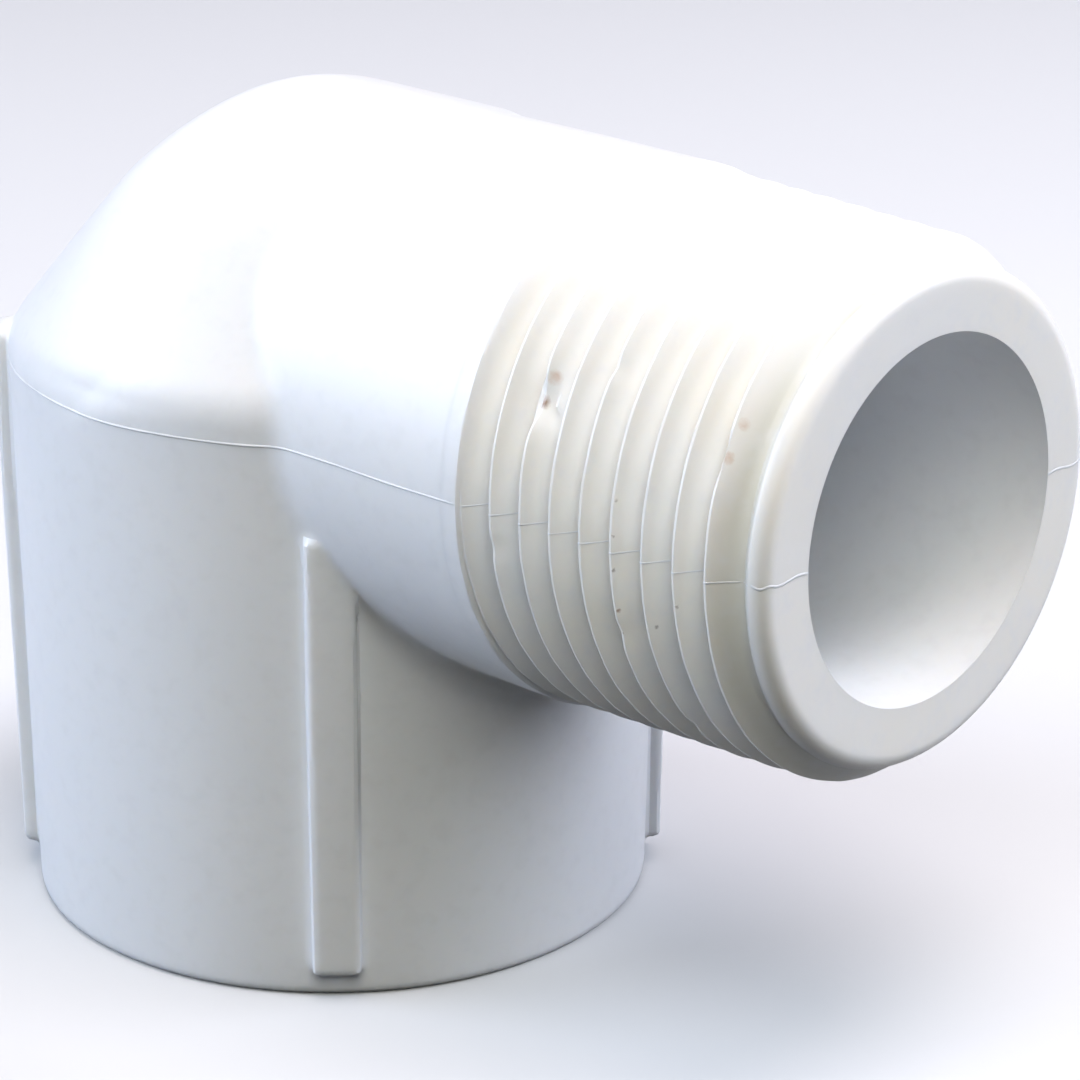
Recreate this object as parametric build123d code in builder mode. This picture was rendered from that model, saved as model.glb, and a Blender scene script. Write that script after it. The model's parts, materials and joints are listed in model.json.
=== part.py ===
from build123d import *

import os
from math import atan, cos, degrees, radians, sin, tan

# A 90 degree threaded street elbow for 3/4 inch pipe, one injection moulding in white PVC.
# The hub stands on its mouth with its axis on +Z; the spigot leaves it along +X.
# The origin is the centre of the hub's mouth. Millimetres.
# Each region of the moulding is its own closed solid. Neighbours meet face to face.

os.makedirs("parts", exist_ok=True)

# ---------------------------------------------------------------- driving sizes

# Tapered pipe thread, 14 turns to the inch, 60 degree flanks
thread_pitch = 25.4 / 14
thread_taper = 1 / 16  # on the diameter, per unit of length
thread_depth_ratio = 0.8  # crest to root, per unit of pitch
flank_angle = 30
root_overlap = 0.03  # how far the ridge's foot sits in the sleeve that carries it

# Hub, with the female thread inside
female_pitch_radius = 12.56  # at the hub's mouth
female_thread_start = 1.5
female_thread_length = 17.5
thread_backing = 0.72  # plain plastic between the female thread's root and the hub wall
hub_wall = 2.6
hub_draft = 0.4  # growth of the hub's radius from the mouth to the centre line
hub_depth = 16.25  # hub's mouth up to the barrel's underside
hub_edge_radius = 0.4
thread_stop_width = 1.3  # shoulder that ends the thread, inside the hub

# Bend: the hub's round wall, a little taller than the centre line, under a mitred crown
crown_lift = 1.2
crown_rise = 11.9
crown_overhang = 0.12  # the crown's section is this much wider than the hub it sits on
mitre_angle = 44
shoulder_angle = 33  # how far the cone round the crown's foot leans in from upright
shoulder_height = 1.8  # above the centre line, where that cone meets the hub's wall
junction_fillet = 2.2
junction_room = 1.1  # plain wall kept below the fillet, in the bend's own section
bend_margin = 0.3  # the bend's section runs this far past its fillet

# Spigot, with the male thread outside
male_pitch_radius = 12.29  # at the thread's outer end
male_thread_length = 16.1
neck_length = 1.8  # plain barrel between the hub's fillet and the thread
neck_step = 0.13  # the barrel stands this far above the first crest
spigot_wall = 2.66  # under the thread's root, at its outer end
thread_sleeve = 0.6  # thickness of the threaded sleeve under the root
nose_length = 2.1
nose_drop = 1.0  # nose below the last crest
nose_edge_radius = 0.85

# Grip ribs on the hub
rib_angle = 45  # from the spigot's direction, and the same from the opposite direction
rib_width = 2.5
rib_projection = 0.85
rib_foot_height = 1.4
rib_edge_radius = 0.3
front_rib_drop = 4.0  # the two ribs beside the spigot end this far below its centre line

# Parting line of the mould, a thin raised line at the height of the centre line
flash_height = 0.12
flash_width = 0.2

# ---------------------------------------------------------------- worked-out sizes

thread_depth = thread_depth_ratio * thread_pitch
radius_slope = thread_taper / 2
taper_angle = degrees(atan(radius_slope))

female_root_radius = female_pitch_radius + thread_depth / 2
hub_core_radius = female_root_radius + thread_backing
hub_mouth_radius = hub_core_radius + hub_wall
hub_crown_radius = hub_mouth_radius + hub_draft
female_thread_end = female_thread_start + female_thread_length
female_end_crest_radius = female_pitch_radius - thread_depth / 2 - female_thread_end * radius_slope
waterway_radius = female_end_crest_radius - thread_stop_width

male_end_crest_radius = male_pitch_radius + thread_depth / 2
male_start_crest_radius = male_end_crest_radius + male_thread_length * radius_slope
bore_radius = male_pitch_radius - thread_depth / 2 - spigot_wall
sleeve_radius = male_pitch_radius - thread_depth / 2 - thread_sleeve
barrel_radius = male_start_crest_radius + neck_step
nose_radius = male_end_crest_radius - nose_drop

centre_height = hub_depth + barrel_radius
bend_end = hub_crown_radius + junction_fillet + bend_margin
thread_start = bend_end + neck_length
thread_end = thread_start + male_thread_length
spigot_reach = thread_end + nose_length
hub_wall_height = hub_depth - junction_fillet - junction_room
shoulder_lean = tan(radians(shoulder_angle))
shoulder_radius = hub_crown_radius + shoulder_height * shoulder_lean  # at the centre line
shoulder_peak = centre_height + shoulder_radius / shoulder_lean
beyond = 3 * hub_crown_radius  # reach of a cutting solid that passes right through

spigot_axis_plane = Plane(origin=(0, 0, centre_height), x_dir=(0, 1, 0), z_dir=(1, 0, 0))


def hub_radius_at(height):
    """Outer radius of the drafted hub wall."""
    return hub_mouth_radius + hub_draft * height / centre_height


def save(part, label):
    """Name a finished node and write its STEP file."""
    part.label = label
    export_step(part, f"parts/{label}.step")


# ---------------------------------------------------------------- whole outer form

# Hub drum and barrel, with one round of fillet where they meet
with BuildPart() as drum_and_barrel:
    with BuildSketch():
        Circle(hub_mouth_radius)
    with BuildSketch(Plane.XY.offset(centre_height)):
        Circle(hub_crown_radius)
    loft()
    with BuildSketch(Plane.XY.offset(centre_height)):
        Circle(hub_crown_radius)
    extrude(amount=beyond)
    with BuildSketch(spigot_axis_plane):
        Circle(barrel_radius)
    extrude(amount=thread_start)
    junction = [
        edge
        for edge in drum_and_barrel.edges().filter_by(GeomType.CIRCLE, reverse=True)
        if edge.center().X > barrel_radius / 2
    ]
    fillet(junction, radius=junction_fillet)

# Limits of the crown: level above the barrel, and sloping down at the back to the hub's rim
rim_plane = Plane.XY.offset(centre_height + crown_lift)
level_plane = Plane(origin=rim_plane.origin, x_dir=(0, 1, 0), z_dir=(1, 0, 0))
slope = radians(mitre_angle)
slope_plane = Plane(origin=rim_plane.origin, x_dir=(0, 1, 0), z_dir=(cos(slope), 0, sin(slope)))
crown_half_width = hub_crown_radius + crown_overhang

with BuildPart() as level_limit:
    with BuildSketch(level_plane):
        Ellipse(crown_half_width, crown_rise)
        with Locations((0, -crown_lift)):
            Circle(barrel_radius + crown_overhang)
        Rectangle(2 * beyond, beyond, align=(Align.CENTER, Align.MAX))
    extrude(amount=beyond, both=True)

with BuildPart() as slope_limit:
    with BuildSketch(slope_plane):
        Ellipse(crown_half_width, hub_crown_radius * sin(slope))
        Rectangle(2 * beyond, 2 * beyond, align=(Align.CENTER, Align.MAX))
    extrude(amount=2 * beyond, both=True)

# Cone that leans in round the back of the crown's foot, with open room towards the spigot
with BuildPart() as shoulder_limit:
    with BuildSketch(Plane.XZ):
        Polygon(
            (0, 0),
            (shoulder_radius, 0),
            (shoulder_radius, centre_height),
            (0, shoulder_peak),
            align=None,
        )
    revolve(axis=Axis.Z)
    with BuildSketch(Plane.YZ):
        Polygon(
            (-shoulder_radius, 0),
            (shoulder_radius, 0),
            (shoulder_radius, centre_height),
            (0, shoulder_peak),
            (-shoulder_radius, centre_height),
            align=None,
        )
    extrude(amount=beyond)

with BuildPart() as outer_form:
    add(drum_and_barrel.part)
    add(level_limit.part, mode=Mode.INTERSECT)
    add(slope_limit.part, mode=Mode.INTERSECT)
    add(shoulder_limit.part, mode=Mode.INTERSECT)

# Waterway: up through the hub, round inside the bend, out through the spigot
with BuildPart() as waterway:
    with BuildSketch():
        Circle(hub_core_radius)
    extrude(amount=female_thread_end)
    with BuildSketch(Plane.XY.offset(female_thread_end)):
        Circle(waterway_radius)
    extrude(amount=centre_height - female_thread_end)
    with Locations((0, 0, centre_height)):
        Sphere(waterway_radius)
    with BuildSketch(spigot_axis_plane):
        Circle(bore_radius)
    extrude(amount=spigot_reach)

# ---------------------------------------------------------------- hub and bend

with BuildPart() as hub_wall_ring:
    with BuildSketch():
        Circle(hub_mouth_radius)
    with BuildSketch(Plane.XY.offset(hub_wall_height)):
        Circle(hub_radius_at(hub_wall_height))
    loft()
    fillet(hub_wall_ring.edges().group_by(Axis.Z)[0], radius=hub_edge_radius)
    with BuildSketch():
        Circle(hub_core_radius)
    extrude(amount=hub_wall_height, mode=Mode.SUBTRACT)
save(hub_wall_ring.part, "hub_wall")

with BuildPart() as bend:
    add(outer_form.part)
    split(bisect_by=Plane.XY.offset(hub_wall_height), keep=Keep.TOP)
    split(bisect_by=Plane.YZ.offset(bend_end), keep=Keep.BOTTOM)
    add(waterway.part, mode=Mode.SUBTRACT)
save(bend.part, "bend_body")

# ---------------------------------------------------------------- spigot


def ring(start, end, outer, inner):
    """A plain ring on the spigot's axis."""
    with BuildPart() as made:
        with BuildSketch(spigot_axis_plane.offset(start)):
            Circle(outer)
            Circle(inner, mode=Mode.SUBTRACT)
        extrude(amount=end - start)
    return made.part


save(ring(bend_end, thread_start, barrel_radius, bore_radius), "barrel_neck")
save(ring(thread_start, thread_end, sleeve_radius, bore_radius), "spigot_tube")

with BuildPart() as nose:
    with BuildSketch(spigot_axis_plane.offset(thread_end)):
        Circle(nose_radius)
    extrude(amount=nose_length)
    fillet(nose.edges().group_by(Axis.X)[-1], radius=nose_edge_radius)
    with BuildSketch(spigot_axis_plane.offset(thread_end)):
        Circle(bore_radius)
    extrude(amount=nose_length, mode=Mode.SUBTRACT)
save(nose.part, "spigot_nose")

# ---------------------------------------------------------------- threads


def thread_ridge(start, direction, root_radius, length, outward):
    """One helical ridge, a turn longer than its thread at both ends.

    root_radius is the root's radius at start; outward is 1 for a male and -1 for a female thread.
    """
    axis = Vector(*direction)
    lead_in = Vector(*start) - axis * thread_pitch
    with BuildLine() as path:
        Helix(
            pitch=thread_pitch,
            height=length + 2 * thread_pitch,
            radius=root_radius + thread_pitch * radius_slope,
            center=lead_in,
            direction=axis,
            cone_angle=-taper_angle,
        )
    foot = path.line @ 0
    radial = (foot - lead_in).normalized() * outward
    half_crest = thread_pitch * (1 - thread_depth_ratio * 2 * tan(radians(flank_angle))) / 4
    half_foot = half_crest + thread_depth * tan(radians(flank_angle))
    with BuildPart() as made:
        with BuildSketch(Plane(origin=foot, x_dir=radial, z_dir=path.line % 0)):
            Polygon(
                (0, -half_foot),
                (thread_depth, -half_crest),
                (thread_depth, half_crest),
                (0, half_foot),
                align=None,
            )
        sweep(path=path.line, is_frenet=True)
    return made.part


male_start_root_radius = male_start_crest_radius - thread_depth
run_on = 2 * thread_pitch  # the sleeve is made this much too long at both ends, then trimmed

with BuildPart() as male_thread:
    with BuildSketch(spigot_axis_plane.offset(thread_start - run_on)):
        Circle(male_start_root_radius + root_overlap + run_on * radius_slope)
    with BuildSketch(spigot_axis_plane.offset(thread_end + run_on)):
        Circle(male_start_root_radius + root_overlap - (male_thread_length + run_on) * radius_slope)
    loft()
    add(
        thread_ridge(
            start=(thread_start, 0, centre_height),
            direction=(1, 0, 0),
            root_radius=male_start_root_radius,
            length=male_thread_length,
            outward=1,
        )
    )
    with BuildSketch(spigot_axis_plane.offset(thread_start)):
        Circle(beyond)
    extrude(amount=male_thread_length, mode=Mode.INTERSECT)
    with BuildSketch(spigot_axis_plane.offset(thread_start)):
        Circle(sleeve_radius)
    extrude(amount=male_thread_length, mode=Mode.SUBTRACT)
save(male_thread.part, "spigot_thread")

female_start_root_radius = female_root_radius - female_thread_start * radius_slope

with BuildPart() as female_thread:
    with BuildSketch(Plane.XY.offset(female_thread_start - run_on)):
        Circle(hub_core_radius)
    extrude(amount=female_thread_length + 2 * run_on)
    with BuildSketch(Plane.XY.offset(female_thread_start - run_on)):
        Circle(female_start_root_radius - root_overlap + run_on * radius_slope)
    with BuildSketch(Plane.XY.offset(female_thread_end + run_on)):
        Circle(female_start_root_radius - root_overlap - (female_thread_length + run_on) * radius_slope)
    loft(mode=Mode.SUBTRACT)
    add(
        thread_ridge(
            start=(0, 0, female_thread_start),
            direction=(0, 0, 1),
            root_radius=female_start_root_radius,
            length=female_thread_length,
            outward=-1,
        )
    )
    with BuildSketch(Plane.XY.offset(female_thread_start)):
        Circle(beyond)
    extrude(amount=female_thread_length, mode=Mode.INTERSECT)
save(female_thread.part, "hub_thread")

# ---------------------------------------------------------------- grip ribs


def grip_rib(angle, top):
    """A low upright rib on the hub's wall, its face following the wall's draft."""
    with BuildPart() as made:
        with BuildSketch(Plane.XY.offset(rib_foot_height)):
            Circle(hub_radius_at(rib_foot_height) + rib_projection)
        with BuildSketch(Plane.XY.offset(top)):
            Circle(hub_radius_at(top) + rib_projection)
        loft()
        with BuildSketch(Plane.XY.rotated((0, 0, angle))):
            Rectangle(beyond, rib_width, align=(Align.MIN, Align.CENTER))
        extrude(amount=beyond, mode=Mode.INTERSECT)
        face = made.faces().sort_by(SortBy.DISTANCE)[-1]
        fillet(face.edges(), radius=rib_edge_radius)
        add(outer_form.part, mode=Mode.SUBTRACT)
    return made.part


back_rib_top = centre_height + crown_lift
front_rib_top = centre_height - front_rib_drop
ribs = {
    "rib_front_left": grip_rib(rib_angle, front_rib_top),
    "rib_front_right": grip_rib(-rib_angle, front_rib_top),
    "rib_back_left": grip_rib(180 - rib_angle, back_rib_top),
    "rib_back_right": grip_rib(rib_angle - 180, back_rib_top),
}
for label, rib in ribs.items():
    save(rib, label)

# ---------------------------------------------------------------- parting line

with BuildPart() as parting_line:
    with BuildSketch(Plane.XY.offset(centre_height - flash_width / 2)) as outline:
        Circle(hub_crown_radius)
        Rectangle(thread_start, 2 * barrel_radius, align=(Align.MIN, Align.CENTER))
        hub_meets_barrel = outline.vertices().group_by(SortBy.DISTANCE)[0]
        fillet(hub_meets_barrel, radius=junction_fillet)
        offset(amount=flash_height)
    extrude(amount=flash_width)
    split(bisect_by=Plane.YZ.offset(thread_start), keep=Keep.BOTTOM)
    add(outer_form.part, mode=Mode.SUBTRACT)
    for rib in ribs.values():
        add(rib, mode=Mode.SUBTRACT)

# The back ribs part the line into three runs
runs = parting_line.solids().sort_by(Axis.Y)
for side, run in zip(("right", "back", "left"), runs):
    save(run, f"parting_line_{side}")
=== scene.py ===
import json
import math

import bmesh
import bpy
import numpy as np
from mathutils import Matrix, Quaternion, Vector


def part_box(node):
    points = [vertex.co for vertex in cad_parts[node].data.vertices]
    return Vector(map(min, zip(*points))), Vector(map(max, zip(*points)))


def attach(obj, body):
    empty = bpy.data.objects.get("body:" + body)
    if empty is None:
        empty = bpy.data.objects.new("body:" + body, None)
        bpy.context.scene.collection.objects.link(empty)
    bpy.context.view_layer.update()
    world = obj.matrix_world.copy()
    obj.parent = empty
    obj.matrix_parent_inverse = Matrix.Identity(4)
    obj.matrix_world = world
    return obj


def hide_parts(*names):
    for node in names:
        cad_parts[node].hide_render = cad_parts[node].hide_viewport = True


# White PVC street elbow. Everything below is worked out in millimetres in the frame of the CAD model
# (hub axis on +Z from the mouth, spigot along +X) and turned into metres when a mesh is made.

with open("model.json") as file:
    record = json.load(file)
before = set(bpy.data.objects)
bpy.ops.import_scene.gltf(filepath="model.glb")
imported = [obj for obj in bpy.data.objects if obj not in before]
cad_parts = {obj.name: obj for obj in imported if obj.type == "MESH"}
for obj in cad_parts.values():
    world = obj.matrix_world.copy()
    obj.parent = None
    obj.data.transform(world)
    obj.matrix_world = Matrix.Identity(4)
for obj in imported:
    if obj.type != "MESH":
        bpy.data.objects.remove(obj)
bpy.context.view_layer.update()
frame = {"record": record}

MM = 0.001


def corners(node):
    """Lowest and highest corner of a CAD node, in millimetres."""
    lo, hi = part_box(node)
    return np.array(lo) / MM, np.array(hi) / MM


# ---------------------------------------------------------------- sizes read from the CAD model

neck_lo, neck_hi = corners("barrel_neck")
BARREL_R = (neck_hi[1] - neck_lo[1]) / 2
CENTRE_Z = (neck_lo[2] + neck_hi[2]) / 2
THREAD_X = neck_hi[0]
nose_lo, nose_hi = corners("spigot_nose")
THREAD_END = nose_lo[0]
SPIGOT_X = nose_hi[0]
FACE_X = SPIGOT_X - 0.05  # the flat end, with room in front of it for the raised mould line
NOSE_R = (nose_hi[1] - nose_lo[1]) / 2
bend_lo, bend_hi = corners("bend_body")
CROWN_R = (bend_hi[1] - bend_lo[1]) / 2
wall_lo, wall_hi = corners("hub_wall")
WALL_TOP_R = (wall_hi[1] - wall_lo[1]) / 2
MOUTH_R = CROWN_R - (CROWN_R - WALL_TOP_R) / (1 - wall_hi[2] / CENTRE_Z)
socket_lo, socket_hi = corners("hub_thread")
SOCKET_R = (socket_hi[1] - socket_lo[1]) / 2
front_rib_lo, front_rib_hi = corners("rib_front_right")
back_rib_lo, back_rib_hi = corners("rib_back_left")
mounts = {m["name"]: m for m in frame["record"]["mounts"]}
BORE_R = mounts["spigot_bore"]["dims"]["r_mm"]
MALE_PITCH_R = mounts["spigot_male_thread"]["dims"]["r_mm"]
FEMALE_PITCH_R = mounts["hub_female_thread"]["dims"]["r_mm"]

PITCH = 25.4 / 14
SLOPE = 1 / 32  # fall of the radius per millimetre, on both threads
THREAD_DEPTH = 0.8 * PITCH
STEEP = 1 / math.tan(math.radians(30))  # radius gained per millimetre along a thread flank

CROWN_LIFT = 1.2
CROWN_RISE = 11.9
MITRE = math.radians(44)
CROWN_ROUND = 0.6
SHOULDER_TILT = math.radians(33)
SHOULDER_HEIGHT = 1.8  # above the centre line, where the shoulder would meet the hub's wall
CROWN_SPARE = 0.25  # how much wider than the hub the crown's own sections are
JUNCTION_R = 2.2
WATERWAY_R = 9.94
RIB_PROUD = 0.82
RIB_HALF = 1.25
FRONT_RIB_SHORT = 0.6  # how far below the CAD model's the front ribs end
MOUTH_ROUND = 0.4
LIP_ROUND = 0.85

# ---------------------------------------------------------------- distance fields


def smax(a, b, k):
    """The larger of two values, blended where they are within k of each other."""
    h = np.maximum(k - np.abs(a - b), 0) / k
    return np.maximum(a, b) + h * h * k / 4


def smin(a, b, k):
    return -smax(-a, -b, k)


def round_max(a, b, r):
    """Both solids, with their common edge rounded to radius r."""
    return np.minimum(-r, np.maximum(a, b)) + np.hypot(np.maximum(r + a, 0), np.maximum(r + b, 0))


def round_min(a, b, r):
    """Either solid, with a hollow of radius r where they meet squarely."""
    return np.maximum(r, np.minimum(a, b)) - np.hypot(np.maximum(r - a, 0), np.maximum(r - b, 0))


def half_ellipse(across, up, a, b):
    """Distance to an ellipse in its upper half; below, to a slot of its width that falls away."""
    high = np.maximum(up, 0)
    k = np.sqrt((across / a) ** 2 + (high / b) ** 2) + 1e-9
    steepness = np.sqrt((across / a**2) ** 2 + (high / b**2) ** 2) / k + 1e-9
    return (k - 1) / steepness + 0.6 * np.minimum(up, 0)


def wave(x, y, z):
    """Slow unevenness of a moulded wall, about -1 to 1."""
    return (
        np.sin(0.41 * x + 0.23 * z + 0.7) * np.cos(0.37 * y - 0.19 * z)
        + 0.5 * np.sin(0.83 * y + 0.61 * z + 1.9) * np.cos(0.71 * x - 0.4)
    ) / 1.5


def hub_radius(z):
    return MOUTH_R + (CROWN_R - MOUTH_R) * np.clip(z / CENTRE_Z, 0, 1)


def crowned_hub(x, y, z):
    """The hub's round wall under its crown: level above the barrel, sloping to the rim behind."""
    zc = z - CENTRE_Z
    up = zc - CROWN_LIFT
    drum = np.hypot(x, y) - hub_radius(z)
    above = half_ellipse(y, up, CROWN_R + CROWN_SPARE, CROWN_RISE)
    level = smin(above, half_ellipse(y, zc, BARREL_R, BARREL_R), 0.7)
    across = up * math.cos(MITRE) - x * math.sin(MITRE)
    slope = half_ellipse(y, across, CROWN_R + CROWN_SPARE, CROWN_R * math.sin(MITRE))
    outward = np.hypot(x, y) - CROWN_R
    shoulder = outward * math.cos(SHOULDER_TILT) + (zc - SHOULDER_HEIGHT) * math.sin(SHOULDER_TILT)
    crown = smax(smax(level, slope, 1.6), shoulder, 1.2)
    return smax(crown, drum, CROWN_ROUND)


def hub_and_barrel(x, y, z):
    """Crowned hub and barrel with a rolled hollow of constant radius between them."""
    a = crowned_hub(x, y, z)
    e = 0.02
    ga = np.stack(
        [
            crowned_hub(x + e, y, z) - a,
            crowned_hub(x, y + e, z) - a,
            crowned_hub(x, y, z + e) - a,
        ]
    )
    ga /= np.sqrt((ga**2).sum(0)) + 1e-9
    zc = z - CENTRE_Z
    rho = np.hypot(y, zc) + 1e-9
    b = np.maximum(rho - BARREL_R, -x)
    c = np.clip((ga[1] * y + ga[2] * zc) / rho, -0.3, 0.9995)
    fade = np.clip((zc - 8.0) / 4.2, 0, 1)
    r = JUNCTION_R - (JUNCTION_R - 0.04) * fade * fade * (3 - 2 * fade)
    u, v = r - a, r - b
    s2 = 1 - c * c
    al, be = (u - v * c) / s2, (v - u * c) / s2
    rolled = r - np.sqrt(np.maximum(al * al + be * be + 2 * al * be * c, 0))
    return np.where((al > 0) & (be > 0) & (x > 0), rolled, np.minimum(a, b))


RIBS = (
    # degrees round from the spigot, foot, top, rounding of the ends
    (45, front_rib_lo[2], front_rib_hi[2] - FRONT_RIB_SHORT, 0.35),
    (-45, front_rib_lo[2], front_rib_hi[2] - FRONT_RIB_SHORT, 0.35),
    (135, back_rib_lo[2], back_rib_hi[2], 0.7),
    (-135, back_rib_lo[2], back_rib_hi[2], 0.7),
)


def elbow_outside(x, y, z):
    """The fitting's outside, with its ribs and the rounded mouth of the hub."""
    d = hub_and_barrel(x, y, z) + 0.02 * wave(x, y, z) * np.clip((19.5 - x) / 3, 0, 1)
    rho = np.hypot(x, y)
    face = rho - hub_radius(z) - RIB_PROUD
    for angle, low, high, end_round in RIBS:
        c, s = math.cos(math.radians(angle)), math.sin(math.radians(angle))
        side = np.abs(y * c - x * s) - RIB_HALF
        rib = round_max(side, face, 0.32)
        rib = round_max(rib, np.maximum(low - z, z - high), end_round)
        rib = np.maximum(rib, -(x * c + y * s))
        d = round_min(d, rib, 0.22)
    d = round_max(d, -z, MOUTH_ROUND)
    socket = np.maximum(rho - SOCKET_R, z - 6)
    return round_max(d, -socket, 0.2)


def waterway(x, y, z):
    """Distance to the open passage: up the hub, round the bend and out through the spigot."""
    zc = z - CENTRE_Z
    riser = np.maximum(np.hypot(x, y) - WATERWAY_R, zc)
    bend = np.sqrt(x * x + y * y + zc * zc) - WATERWAY_R
    run = np.maximum(np.hypot(y, zc) - BORE_R, -x)
    return smin(np.minimum(riser, bend), run, 0.5)


# ---------------------------------------------------------------- meshes from the fields


def gradient(field, p, e=0.01):
    """How fast a field grows along each axis."""
    rise = [
        field(p[0] + e, p[1], p[2]) - field(p[0] - e, p[1], p[2]),
        field(p[0], p[1] + e, p[2]) - field(p[0], p[1] - e, p[2]),
        field(p[0], p[1], p[2] + e) - field(p[0], p[1], p[2] - e),
    ]
    return np.stack(rise) / (2 * e)


def settle(field, p, steps):
    """Moves points onto the field's zero surface."""
    for _ in range(steps):
        g = gradient(field, p)
        p = p - field(*p) * g / np.maximum((g**2).sum(0), 0.2)
    return p


def skin(field, lo, hi, h):
    """Quads over the zero surface of a field, about h apart and resting exactly on it."""
    axes = [np.arange(a, b + h, h) for a, b in zip(lo, hi)]
    value = field(*np.meshgrid(*axes, indexing="ij"))
    inside = value < 0
    offsets = [(i, j, k) for i in (0, 1) for j in (0, 1) for k in (0, 1)]
    n = [len(a) - 1 for a in axes]
    blocks = [inside[i : i + n[0], j : j + n[1], k : k + n[2]] for i, j, k in offsets]
    count = sum(b.astype(np.int8) for b in blocks)
    cell = np.argwhere((count > 0) & (count < 8))
    index = np.full(n, -1, dtype=np.int64)
    index[tuple(cell.T)] = np.arange(len(cell))
    at = np.stack([value[tuple((cell + o).T)] for o in offsets], 1)
    total, hits = np.zeros((len(cell), 3)), np.zeros(len(cell))
    for a in range(8):
        for b in range(a + 1, 8):
            step = np.array(offsets[b]) - np.array(offsets[a])
            if np.abs(step).sum() != 1:
                continue
            cross = (at[:, a] < 0) != (at[:, b] < 0)
            t = np.where(cross, at[:, a] / np.where(cross, at[:, a] - at[:, b], 1), 0)
            total += cross[:, None] * (np.array(offsets[a]) + t[:, None] * step)
            hits += cross
    p = np.stack([axes[i][cell[:, i]] for i in range(3)]) + h * (total / hits[:, None]).T

    faces = []
    for axis in range(3):
        u, v = (axis + 1) % 3, (axis + 2) % 3
        first = [slice(None)] * 3
        second = [slice(None)] * 3
        first[axis], second[axis] = slice(0, -1), slice(1, None)
        for other in (u, v):
            first[other] = second[other] = slice(1, -1)
        starts, ends = inside[tuple(first)], inside[tuple(second)]
        for flip in (False, True):
            hit = np.argwhere((ends & ~starts) if flip else (starts & ~ends))
            hit[:, u] += 1
            hit[:, v] += 1
            quad = []
            for du, dv in ((0, 0), (-1, 0), (-1, -1), (0, -1)):
                c = hit.copy()
                c[:, u] += du
                c[:, v] += dv
                quad.append(index[tuple(c.T)])
            quad = np.stack(quad, 1)
            faces.append(quad[:, ::-1] if flip else quad)
    faces = np.concatenate(faces)

    p = settle(field, p, 2)
    edges = np.concatenate([faces[:, [i, (i + 1) % 4]] for i in range(4)])
    edges = np.concatenate([edges, edges[:, ::-1]])
    degree = np.bincount(edges[:, 0], minlength=p.shape[1])
    for _ in range(3):
        mean = np.stack([np.bincount(edges[:, 0], weights=c[edges[:, 1]], minlength=len(c)) for c in p])
        p = settle(field, 0.5 * p + 0.5 * mean / degree, 1)
    return settle(field, p, 2).T, faces


def trim(bm, point, normal):
    """Cuts away what lies beyond a plane, on its normal's side."""
    geom = bm.verts[:] + bm.edges[:] + bm.faces[:]
    bmesh.ops.bisect_plane(
        bm, geom=geom, dist=1e-6, plane_co=Vector(point), plane_no=Vector(normal), clear_outer=True
    )


def place(name, bm, nodes, material, crease=32):
    """Makes a finished piece: smooth faces with sharp edges kept, riding on the part."""
    mesh = bpy.data.meshes.new(name)
    bmesh.ops.scale(bm, vec=(MM, MM, MM), verts=bm.verts)
    bm.to_mesh(mesh)
    bm.free()
    mesh.shade_smooth()
    mesh.set_sharp_from_angle(angle=math.radians(crease))
    mesh.materials.append(material)
    piece = bpy.data.objects.new(name, mesh)
    bpy.context.scene.collection.objects.link(piece)
    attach(piece, "root")
    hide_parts(*nodes)
    return piece


def to_bmesh(verts, faces):
    """A mesh to work on, from arrays of points and of faces."""
    mesh = bpy.data.meshes.new("build")
    mesh.from_pydata(verts.tolist(), [], faces.tolist())
    bm = bmesh.new()
    bm.from_mesh(mesh)
    bpy.data.meshes.remove(mesh)
    return bm


def join(bm, verts, faces):
    """Adds a skin to a mesh and welds the edge that they share."""
    more = to_bmesh(verts, faces)
    mesh = bpy.data.meshes.new("join")
    more.to_mesh(mesh)
    more.free()
    bm.from_mesh(mesh)
    bpy.data.meshes.remove(mesh)
    bmesh.ops.remove_doubles(bm, verts=bm.verts, dist=0.002)
    bmesh.ops.recalc_face_normals(bm, faces=bm.faces)


# ---------------------------------------------------------------- threads

CREST_FLAT = 0.045  # how much of its depth each crest has lost to a flat
PHASES = np.array([-0.42, -0.33, -0.22, -0.13, -0.07, -0.035, 0, 0.035, 0.07, 0.13, 0.22, 0.33, 0.42, 0.5])


def tooth(phase, tip=0.04, root=0.07):
    """Height of the thread form, 0 at the root and 1 at the crest, with small radii. One turn per 1."""
    p = np.abs(phase - np.round(phase))
    sharp = 0.5 * PITCH * STEEP / THREAD_DEPTH
    height = 2 * sharp * (0.5 - p) - 0.5 * (sharp - 1) + CREST_FLAT
    return smax(smin(height, np.ones_like(height), 2 * tip), np.zeros_like(height), 2 * root)


def helix_skin(start, turns, columns, profile, along):
    """Rows that follow a right-handed helix. profile(angle, distance) is the radius."""
    rows = np.concatenate([start + (t + PHASES + 0.5) * PITCH for t in range(turns)])
    angle = np.linspace(0, 2 * np.pi, columns, endpoint=False)
    a, d = np.meshgrid(angle, rows, indexing="ij")
    d = d + PITCH * a / (2 * np.pi)
    points = along(a, d, profile(a, d))
    per, n = len(PHASES), len(rows)
    faces = []
    i, j = np.meshgrid(np.arange(columns - 1), np.arange(n - 1), indexing="ij")
    i, j = i.ravel(), j.ravel()
    faces.append(np.stack([i * n + j, (i + 1) * n + j, (i + 1) * n + j + 1, i * n + j + 1], 1))
    j = np.arange(n - 1 - per)
    last = (columns - 1) * n
    faces.append(np.stack([last + j, j + per, j + per + 1, last + j + 1], 1))
    return points.reshape(-1, 3), np.concatenate(faces)


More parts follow.
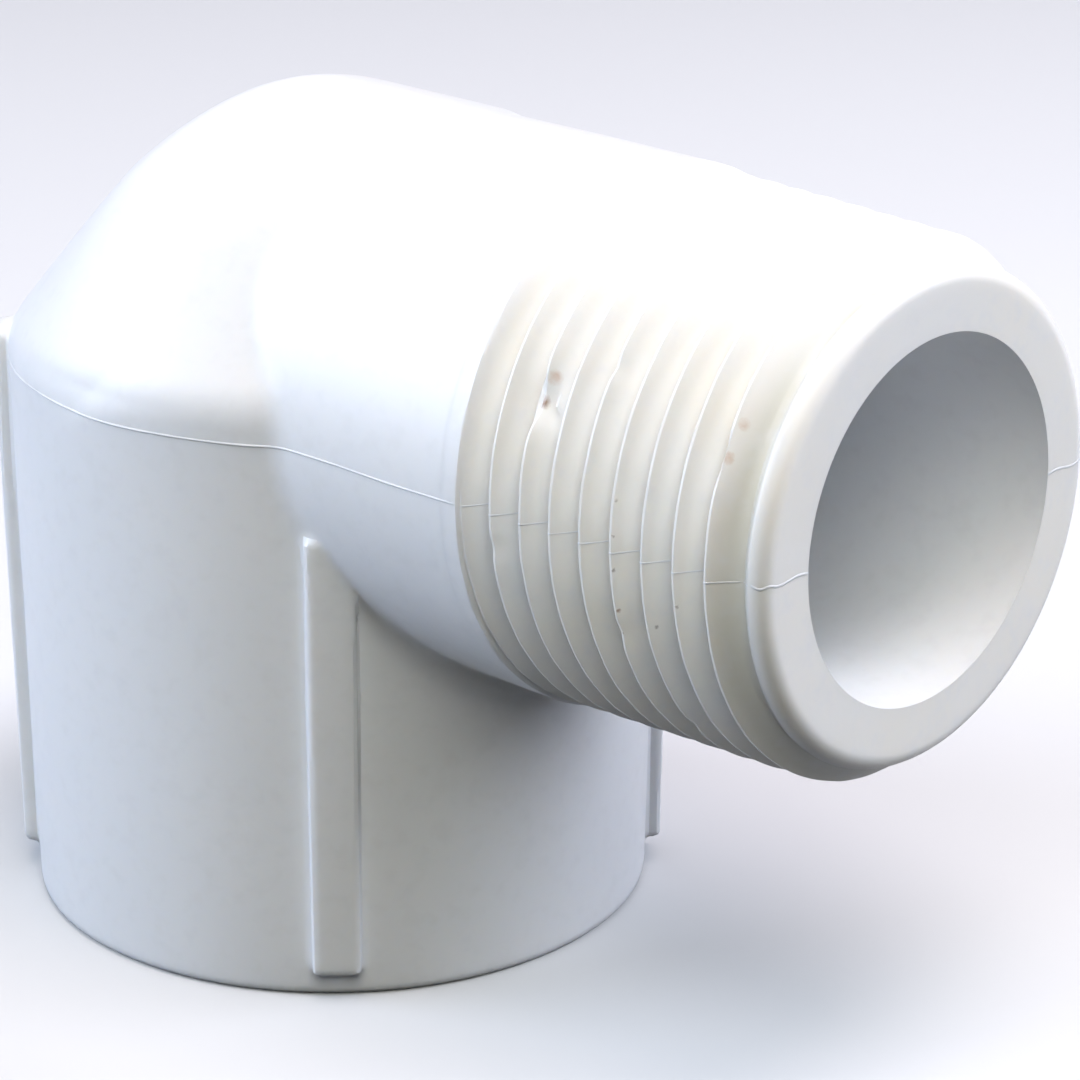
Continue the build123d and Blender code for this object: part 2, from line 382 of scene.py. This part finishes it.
def ring_skin(profile, columns, along):
    """A surface of revolution through (distance, radius) pairs."""
    angle = np.linspace(0, 2 * np.pi, columns, endpoint=False)
    pts = [along(angle, np.full(columns, d), np.full(columns, r)) for d, r in profile]
    faces = []
    for k in range(len(profile) - 1):
        i = np.arange(columns)
        nx = (i + 1) % columns
        near, far = k * columns, (k + 1) * columns
        faces.append(np.stack([near + i, near + nx, far + nx, far + i], 1))
    return np.concatenate(pts), np.concatenate(faces)


def on_spigot(a, d, r):
    """Angle 0 faces -Y and grows downwards on that side, as the thread advances."""
    return np.stack([d, -r * np.cos(a), CENTRE_Z - r * np.sin(a)], -1)


def in_hub(a, d, r):
    """Angle 0 faces +X and grows anticlockwise seen from above."""
    return np.stack([r * np.cos(a), r * np.sin(a), d], -1)


FIRST_CREST = 22.43  # on the -Y side, at the parting line
BARREL_STEP = FIRST_CREST - 0.16
NOSE_START = 38.6
HOLLOW_START = 38.0
HOLLOW = 0.45
LAST_TURN = 8.2  # turns from the first crest to where the thread starts to die out

NICKS = (
    # turns from the first crest, half length in turns, depth
    (1.93, 0.014, 0.42),
    (7.93, 0.012, 0.22),
    (1.02, 0.006, 0.10),
    (3.90, 0.006, 0.12),
    (5.05, 0.007, 0.10),
    (6.12, 0.006, 0.09),
    (4.30, 0.010, 0.10),
    (2.55, 0.012, 0.16),
)


def nose_profile(d):
    """Radius of the plain lip in front of the last turn, with the hollow behind it."""
    t = np.clip((d - HOLLOW_START) / (NOSE_START - HOLLOW_START), 0, 1)
    hollow = NOSE_R - HOLLOW * (1 - t * t * (3 - 2 * t))
    return np.where(d < HOLLOW_START, NOSE_R - HOLLOW - 0.25 * (HOLLOW_START - d), hollow)


def died_out(turns):
    """0 where the thread stands in full, 1 where it has died out, by turns from the first crest."""
    t = np.clip((turns - LAST_TURN) / 0.35, 0, 1)
    return t * t * (3 - 2 * t)


def spigot_radius(a, d):
    """Radius of the thread, with the end of the barrel before it and the hollow after it."""
    turn = a / (2 * np.pi)
    phase = (d - FIRST_CREST) / PITCH - turn
    run = np.round(phase) + turn  # turns travelled along this crest
    crest = MALE_PITCH_R + THREAD_DEPTH / 2 + (THREAD_END - d) * SLOPE - 0.01
    uneven = (
        0.010 * np.sin(2 * np.pi * run * 7.3 + 1.1)
        + 0.008 * np.sin(2 * np.pi * run * 17.9 + 0.3)
        + 0.005 * np.sin(2 * np.pi * run * 41.7)
    )
    h = tooth(phase + 0.006 * np.sin(2 * np.pi * run * 5.1) + 0.004 * np.sin(2 * np.pi * run * 23))
    for where, half, depth in NICKS:
        dent = np.exp(-(((run - where) / half) ** 2))
        h = h * (1 - depth * dent * (h > 0.4))
    h = h * (1 - died_out(run))
    thread = crest - THREAD_DEPTH + THREAD_DEPTH * h + uneven * h
    dead = died_out(turn + 8)
    for count, sunk in ((8, 3 * dead), (7, 3 * (1 - dead))):
        past = d - FIRST_CREST - (count + turn) * PITCH
        ramp = crest - 0.03 - 1.06 * past - sunk
        thread = np.where(past > 0, smax(thread, ramp, 0.06), thread)
    barrel = BARREL_R - np.maximum(d - BARREL_STEP, 0) * STEEP
    return smax(smax(thread, barrel, 0.05), nose_profile(d), 0.35)


def socket_radius(a, d):
    """Radius of the female thread, opening out at the mouth and dying out at its top."""
    turn = a / (2 * np.pi)
    phase = (d - 2.6) / PITCH - turn
    root = FEMALE_PITCH_R + THREAD_DEPTH / 2 - d * SLOPE
    fade = np.clip((d - 17.6) / 1.0, 0, 1)
    fade = fade * fade * (3 - 2 * fade)
    thread = root - THREAD_DEPTH * (tooth(phase) * (1 - fade) + fade)
    lead_in = SOCKET_R - (d - socket_lo[2])
    return smax(thread, lead_in, 0.15)


def nose_end():
    """Outline from the last of the thread over the rounded lip and across the flat end to the bore."""
    outline = [(NOSE_START, NOSE_R)]
    for t in np.linspace(0, math.pi / 2, 11):
        outline.append((FACE_X + LIP_ROUND * (math.sin(t) - 1), NOSE_R + LIP_ROUND * (math.cos(t) - 1)))
    for r in np.linspace(NOSE_R - LIP_ROUND, BORE_R, 8)[1:]:
        outline.append((FACE_X, r))
    return outline


# ---------------------------------------------------------------- mould flash


def bead(points, normals, width, height, rng):
    """A low raised line along points, its foot sunk a little into the surface."""
    points, normals = np.array(points), np.array(normals)
    tangent = np.gradient(points, axis=0)
    tangent /= np.linalg.norm(tangent, axis=1)[:, None]
    side = np.cross(tangent, normals)
    side /= np.linalg.norm(side, axis=1)[:, None]
    n = len(points)
    s = np.arange(n)
    rough = np.convolve(rng.normal(size=n + 8), np.ones(9) / 3, mode="valid")
    tall = height * np.clip(1 + 0.22 * rough + 0.15 * np.sin(s * 0.11), 0.35, 1.6)
    ends = np.clip(np.minimum(s, n - 1 - s) / 4, 0.05, 1)
    shape = ((-1.0, -0.35), (-0.62, 0.35), (-0.25, 0.9), (0.15, 1.0), (0.6, 0.45), (1.0, -0.35))
    rows = [
        points + side * (width / 2 * u) + normals * (np.where(v > 0, v * tall * ends, v * 0.08))[:, None]
        for u, v in shape
    ]
    verts = np.concatenate(rows)
    faces = []
    for k in range(len(shape) - 1):
        i = np.arange(n - 1)
        faces.append(np.stack([k * n + i, k * n + i + 1, (k + 1) * n + i + 1, (k + 1) * n + i], 1))
    return verts, np.concatenate(faces)


def outline_at_centre_line(side):
    """Points round the hub and along the barrel at the centre line's height, on one side of the part."""
    gap = CROWN_R + JUNCTION_R
    rise = BARREL_R + JUNCTION_R
    fillet_x = math.sqrt(gap**2 - rise**2)
    meet = math.degrees(math.atan2(rise, fillet_x))
    points = []
    for t in np.arange(180, meet, -0.9):
        points.append((CROWN_R * math.cos(math.radians(t)), CROWN_R * math.sin(math.radians(t))))
    for t in np.linspace(180 + meet, 270, 10):
        points.append(
            (fillet_x + JUNCTION_R * math.cos(math.radians(t)), rise + JUNCTION_R * math.sin(math.radians(t)))
        )
    for x in np.arange(fillet_x + 0.3, BARREL_STEP, 0.25):
        points.append((x, BARREL_R))
    p = np.array(points)
    wander = 0.05 * np.sin(np.arange(len(p)) * 0.05 + side) + 0.03 * np.sin(np.arange(len(p)) * 0.17)
    return np.stack([p[:, 0], side * p[:, 1], CENTRE_Z + wander])


def flash_runs():
    """Every run of the parting line: round the hub and barrel, over the thread and across the end."""
    rng = np.random.default_rng(11)
    for side in (-1, 1):
        path = outline_at_centre_line(side)
        surface = settle(hub_and_barrel, path, 3)
        normal = gradient(hub_and_barrel, surface)
        normal /= np.linalg.norm(normal, axis=0)
        on_rib = np.abs(np.abs(surface[1]) + surface[0]) < 2.0
        keep = np.flatnonzero(~on_rib)
        for run in np.split(keep, np.flatnonzero(np.diff(keep) > 1) + 1):
            yield bead(surface.T[run], normal.T[run], 0.17, 0.045, rng)

        angle = 0 if side < 0 else math.pi
        d = np.arange(FIRST_CREST, FACE_X - LIP_ROUND - 0.01, 0.06)
        r = spigot_radius(np.full_like(d, angle), d)
        slope = np.gradient(r, d)
        normal = np.stack([-slope, side * np.ones_like(d), np.zeros_like(d)], 1)
        normal /= np.linalg.norm(normal, axis=1)[:, None]
        points = np.stack([d, side * r, np.full_like(d, CENTRE_Z)], 1)
        yield bead(points, normal, 0.13, 0.015, rng)

        places, radii = np.array(nose_end()).T
        steps = np.linspace(2, len(radii) - 1, 70)
        r = np.interp(steps, np.arange(len(radii)), radii)
        x = np.interp(steps, np.arange(len(radii)), places)
        round_part = np.clip((x - (FACE_X - LIP_ROUND)) / LIP_ROUND, 0, 1)
        lean = np.arcsin(round_part)
        normal = np.stack([np.sin(lean), side * np.cos(lean), 0 * lean], 1)
        points = np.stack([x, side * r, CENTRE_Z + 0.06 * np.sin(steps * 0.9)], 1)
        yield bead(points, normal, 0.2, 0.026, rng)


# ---------------------------------------------------------------- materials


SPOT_RAGGED = 0.11  # how far a spot's edge strays


def pvc(name, base, warm, warm_amount, threaded=None, spots=()):
    """White PVC: faint mottling, a warm bloom, small soiled spots, and a fine moulded surface.

    A threaded colour takes over from the base past the end of the plain barrel, and turns a darker olive in
    the
    hollow behind the lip: partly a dirt tint, partly painted shade in that recess.
    """
    mat = bpy.data.materials.new(name)
    mat.use_nodes = True
    nodes, links = mat.node_tree.nodes, mat.node_tree.links
    shader = nodes["Principled BSDF"]
    shader.inputs["Roughness"].default_value = 0.42
    shader.inputs["IOR"].default_value = 1.53
    shader.inputs["Subsurface Weight"].default_value = 0.3
    shader.inputs["Subsurface Radius"].default_value = (1.0, 0.85, 0.7)
    shader.inputs["Subsurface Scale"].default_value = 0.0006
    place_in = nodes.new("ShaderNodeTexCoord")

    def noise(scale, detail, rough=0.5):
        n = nodes.new("ShaderNodeTexNoise")
        n.inputs["Scale"].default_value = scale
        n.inputs["Detail"].default_value = detail
        n.inputs["Roughness"].default_value = rough
        links.new(place_in.outputs["Object"], n.inputs["Vector"])
        return n.outputs["Fac"]

    def ramp(value, low, high, to_low, to_high):
        m = nodes.new("ShaderNodeMapRange")
        m.inputs["From Min"].default_value = low
        m.inputs["From Max"].default_value = high
        m.inputs["To Min"].default_value = to_low
        m.inputs["To Max"].default_value = to_high
        links.new(value, m.inputs["Value"])
        return m.outputs["Result"]

    def mix(fac, a, b):
        m = nodes.new("ShaderNodeMix")
        m.data_type = "RGBA"
        links.new(fac, m.inputs[0])
        for socket, colour in ((m.inputs[6], a), (m.inputs[7], b)):
            if isinstance(colour, tuple):
                socket.default_value = (*colour, 1)
            else:
                links.new(colour, socket)
        return m.outputs[2]

    if threaded:
        along = nodes.new("ShaderNodeSeparateXYZ")
        links.new(place_in.outputs["Object"], along.inputs[0])
        past_barrel = ramp(along.outputs["X"], BARREL_STEP * MM, (BARREL_STEP + 0.4) * MM, 0, 1)
        base = mix(past_barrel, base, threaded)
        # painted shade: the hollow behind the lip is darkened towards olive, partly dirt tint, partly shade
        # in the recess
        into_hollow = ramp(along.outputs["X"], 37.0 * MM, 37.6 * MM, 0, 0.75)
        out_of_hollow = ramp(along.outputs["X"], 38.2 * MM, 38.7 * MM, 0, 1)
        base = mix(out_of_hollow, mix(into_hollow, base, OLIVE_DIRT_AND_SHADE), threaded)
    colour = mix(ramp(noise(140, 3), 0.35, 0.7, 0, warm_amount), base, warm)
    shade = tuple(0.93 * c for c in WHITE)
    colour = mix(ramp(noise(900, 2, 0.6), 0.5, 0.75, 0, 0.5), colour, shade)
    shifted = nodes.new("ShaderNodeVectorMath")
    shifted.operation = "MULTIPLY_ADD"
    ragged = nodes.new("ShaderNodeTexNoise")
    ragged.inputs["Scale"].default_value = 5200
    links.new(place_in.outputs["Object"], ragged.inputs["Vector"])
    links.new(ragged.outputs["Color"], shifted.inputs[0])
    shifted.inputs[1].default_value = (2 * SPOT_RAGGED * MM,) * 3
    links.new(place_in.outputs["Object"], shifted.inputs[2])
    for at, size, tint, strength in spots:
        away = nodes.new("ShaderNodeVectorMath")
        away.operation = "DISTANCE"
        away.inputs[1].default_value = tuple(MM * (c + SPOT_RAGGED) for c in at)
        links.new(shifted.outputs["Vector"], away.inputs[0])
        broken = ramp(noise(2600, 2), 0.3, 0.7, 0.55, 1.25)
        product = nodes.new("ShaderNodeMath")
        product.operation = "MULTIPLY"
        links.new(ramp(away.outputs["Value"], 0.35 * size * MM, size * MM, strength, 0), product.inputs[0])
        links.new(broken, product.inputs[1])
        colour = mix(product.outputs[0], colour, tint)
    links.new(colour, shader.inputs["Base Color"])
    bump = nodes.new("ShaderNodeBump")
    bump.inputs["Strength"].default_value = 0.12
    bump.inputs["Distance"].default_value = 0.00004
    links.new(noise(2200, 3, 0.6), bump.inputs["Height"])
    links.new(bump.outputs["Normal"], shader.inputs["Normal"])
    return mat


def spigot_point(turns, lift=0.0, ahead=0.0):
    """A point on the thread's crest, that many turns from its start."""
    a = 2 * math.pi * (turns % 1)
    d = FIRST_CREST + turns * PITCH + ahead
    r = MALE_PITCH_R + THREAD_DEPTH / 2 + (THREAD_END - d) * SLOPE + lift
    return (d, -r * math.cos(a), CENTRE_Z - r * math.sin(a))


BROWN = (0.30, 0.16, 0.08)
RUST = (0.55, 0.30, 0.16)
SOOT = (0.16, 0.13, 0.12)
WHITE = (0.885, 0.895, 0.90)
CREAM = (0.89, 0.87, 0.81)
# darker olive for the hollow behind the lip: partly dirt tint, partly painted shade
OLIVE_DIRT_AND_SHADE = (0.70, 0.70, 0.61)

SPOTS = (
    # middle, radius, colour, strength
    (spigot_point(1.93, -0.5, 0.05), 0.4, BROWN, 0.75),
    (spigot_point(1.915, -0.5, 0.25), 0.42, RUST, 0.45),
    (spigot_point(7.93, -0.3, 0.05), 0.36, RUST, 0.55),
    (spigot_point(7.91, -0.4, 0.25), 0.34, RUST, 0.35),
    (spigot_point(4.97, -0.1, 0.15), 0.12, SOOT, 0.7),
    (spigot_point(4.99, -0.1, 0.12), 0.10, SOOT, 0.6),
    (spigot_point(5.01, -0.1, 0.15), 0.11, SOOT, 0.7),
    (spigot_point(5.035, -0.1, 0.12), 0.13, BROWN, 0.8),
    (spigot_point(5.05, -0.1, 0.12), 0.15, BROWN, 0.8),
    (spigot_point(1.985, -0.2, -0.25), 0.16, SOOT, 0.7),
    (spigot_point(2.055, -0.3, 0.5), 0.16, SOOT, 0.7),
    (spigot_point(7.02, -0.1, 0.1), 0.12, SOOT, 0.6),
    (spigot_point(7.06, -0.5, 0.5), 0.14, SOOT, 0.5),
    (spigot_point(6.04, -0.3, 0.3), 0.13, SOOT, 0.5),
)

hub_white = pvc("pvc_hub", WHITE, (0.86, 0.88, 0.90), 0.5)
thread_white = pvc("pvc_thread", WHITE, (0.86, 0.88, 0.90), 0.5, CREAM, SPOTS)
socket_white = pvc("pvc_socket", WHITE, CREAM, 0.5)

# ---------------------------------------------------------------- pieces


def elbow_body():
    outside = skin(elbow_outside, (-18.9, -18.3, -0.7), (THREAD_X + 0.9, 18.3, 44.4), 0.27)
    bm = to_bmesh(*outside)
    trim(bm, (THREAD_X, 0, 0), (1, 0, 0))
    behind_thread = []
    for face in bm.faces:
        at = face.calc_center_median()
        if socket_lo[2] + 0.1 < at.z < 8 and math.hypot(at.x, at.y) < SOCKET_R + 0.3:
            behind_thread.append(face)
    bmesh.ops.delete(bm, geom=behind_thread, context="FACES")
    bmesh.ops.recalc_face_normals(bm, faces=bm.faces)
    ribs = ("rib_front_left", "rib_front_right", "rib_back_left", "rib_back_right")
    place("elbow_body_skin", bm, ("hub_wall", "bend_body", "barrel_neck", *ribs), hub_white)


def inside_of_bend():
    verts, faces = skin(waterway, (-10.8, -10.8, socket_hi[2] - 0.9), (SPIGOT_X + 0.9, 10.8, 40.8), 0.4)
    bm = to_bmesh(verts, faces[:, ::-1])
    trim(bm, (0, 0, socket_hi[2]), (0, 0, -1))
    trim(bm, (FACE_X, 0, 0), (1, 0, 0))
    place("waterway_skin", bm, (), hub_white)


def spigot_thread():
    bm = to_bmesh(*helix_skin(FIRST_CREST - 2.6 * PITCH, 12, 260, spigot_radius, on_spigot))
    trim(bm, (THREAD_X, 0, 0), (-1, 0, 0))
    trim(bm, (NOSE_START, 0, 0), (1, 0, 0))
    join(bm, *ring_skin(nose_end(), 260, on_spigot))
    place("spigot_thread_skin", bm, ("spigot_thread", "spigot_tube", "spigot_nose"), thread_white, 40)


def hub_thread():
    top = socket_hi[2]
    bm = to_bmesh(*helix_skin(socket_lo[2] - 2.2 * PITCH, 13, 180, socket_radius, in_hub))
    trim(bm, (0, 0, socket_lo[2]), (0, 0, -1))
    trim(bm, (0, 0, top), (0, 0, 1))
    shoulder = [(top, float(socket_radius(np.array(0.0), np.array(top)))), (top, WATERWAY_R)]
    join(bm, *ring_skin(shoulder, 180, in_hub))
    bmesh.ops.reverse_faces(bm, faces=bm.faces)
    place("hub_thread_skin", bm, ("hub_thread",), socket_white, 40)


def mould_line():
    count = 0
    verts, faces = [], []
    for run_verts, run_faces in flash_runs():
        verts.append(run_verts)
        faces.append(run_faces + count)
        count += len(run_verts)
    bm = to_bmesh(np.concatenate(verts), np.concatenate(faces))
    bmesh.ops.recalc_face_normals(bm, faces=bm.faces)
    lines = ("parting_line_left", "parting_line_back", "parting_line_right")
    place("mould_line", bm, lines, hub_white, 60)


elbow_body()
inside_of_bend()
spigot_thread()
hub_thread()
mould_line()

# ---------------------------------------------------------------- floor, light and camera

floor_mesh = bpy.data.meshes.new("floor")
half = 1.6
floor_mesh.from_pydata(
    [(-half, -half, 0), (half, -half, 0), (half, half, 0), (-half, half, 0)], [], [(0, 1, 2, 3)]
)
floor = bpy.data.objects.new("floor", floor_mesh)
floor.location.z = -0.00002
bpy.context.scene.collection.objects.link(floor)
paper = bpy.data.materials.new("paper")
paper.use_nodes = True
paper.node_tree.nodes["Principled BSDF"].inputs["Base Color"].default_value = (0.74, 0.745, 0.75, 1)
paper.node_tree.nodes["Principled BSDF"].inputs["Roughness"].default_value = 0.9
floor_mesh.materials.append(paper)
floor.visible_diffuse = False


def area(name, at, towards, size, power, colour):
    light = bpy.data.lights.new(name, "AREA")
    light.shape = "DISK"
    light.size = size
    light.energy = power
    light.color = colour
    lamp = bpy.data.objects.new(name, light)
    lamp.location = at
    lamp.rotation_mode = "QUATERNION"
    lamp.rotation_quaternion = (Vector(towards) - Vector(at)).to_track_quat("-Z", "Y")
    bpy.context.scene.collection.objects.link(lamp)


middle = Vector((0.011, 0, 0.024))
LAMP_AWAY = 0.6


def soft_lamp(name, height, round_from_x, power, colour):
    """A round lamp aimed at the fitting. The angles are in degrees, above the floor and round from +X."""
    up, turn = math.radians(height), math.radians(round_from_x)
    towards_lamp = Vector((math.cos(up) * math.cos(turn), math.cos(up) * math.sin(turn), math.sin(up)))
    area(name, middle + LAMP_AWAY * towards_lamp, middle, 0.4, power, colour)


# Cool light from both sides, a warmer one overhead, and a weak one from the front
soft_lamp("left", 20, 225, 3.4, (0.7, 0.8, 1.0))
soft_lamp("right", 30, 45, 3.2, (0.8, 0.85, 1.0))
soft_lamp("top", 80, 0, 2.5, (1.0, 0.9, 0.9))
soft_lamp("front", 45, 315, 1.5, (1.0, 1.0, 0.9))

world = bpy.data.worlds.new("studio")
bpy.context.scene.world = world
world.use_nodes = True
tree = world.node_tree
sky = tree.nodes["Background"]
direction = tree.nodes.new("ShaderNodeTexCoord")
split = tree.nodes.new("ShaderNodeSeparateXYZ")
fade = tree.nodes.new("ShaderNodeMapRange")
fade.inputs["From Min"].default_value = -0.15
fade.inputs["From Max"].default_value = 0.35
fade.inputs["To Min"].default_value = 0.01
fade.inputs["To Max"].default_value = 0.04
tree.links.new(direction.outputs["Generated"], split.inputs[0])
tree.links.new(split.outputs["Z"], fade.inputs["Value"])
tree.links.new(fade.outputs["Result"], sky.inputs["Strength"])
sky.inputs["Color"].default_value = (0.95, 0.97, 1.0, 1)

bpy.context.scene.view_settings.view_transform = "Standard"

# Camera at the photograph's angle
AZIMUTH, ELEVATION, ROLL = math.radians(43.25), math.radians(20.8), math.radians(0.16)
DISTANCE = 0.1889
target = Vector((0.014815, 0, -0.007363 + CENTRE_Z * MM))
back = Vector(
    (
        math.sin(AZIMUTH) * math.cos(ELEVATION),
        -math.cos(AZIMUTH) * math.cos(ELEVATION),
        math.sin(ELEVATION),
    )
)
lens = bpy.data.cameras.new("camera")
lens.sensor_width = 36
lens.lens = 124.23
lens.clip_start = 0.01
camera = bpy.data.objects.new("camera", lens)
camera.location = target + back * DISTANCE
camera.rotation_mode = "QUATERNION"
camera.rotation_quaternion = (-back).to_track_quat("-Z", "Y") @ Quaternion((0, 0, 1), ROLL)
bpy.context.scene.collection.objects.link(camera)
bpy.context.scene.camera = camera
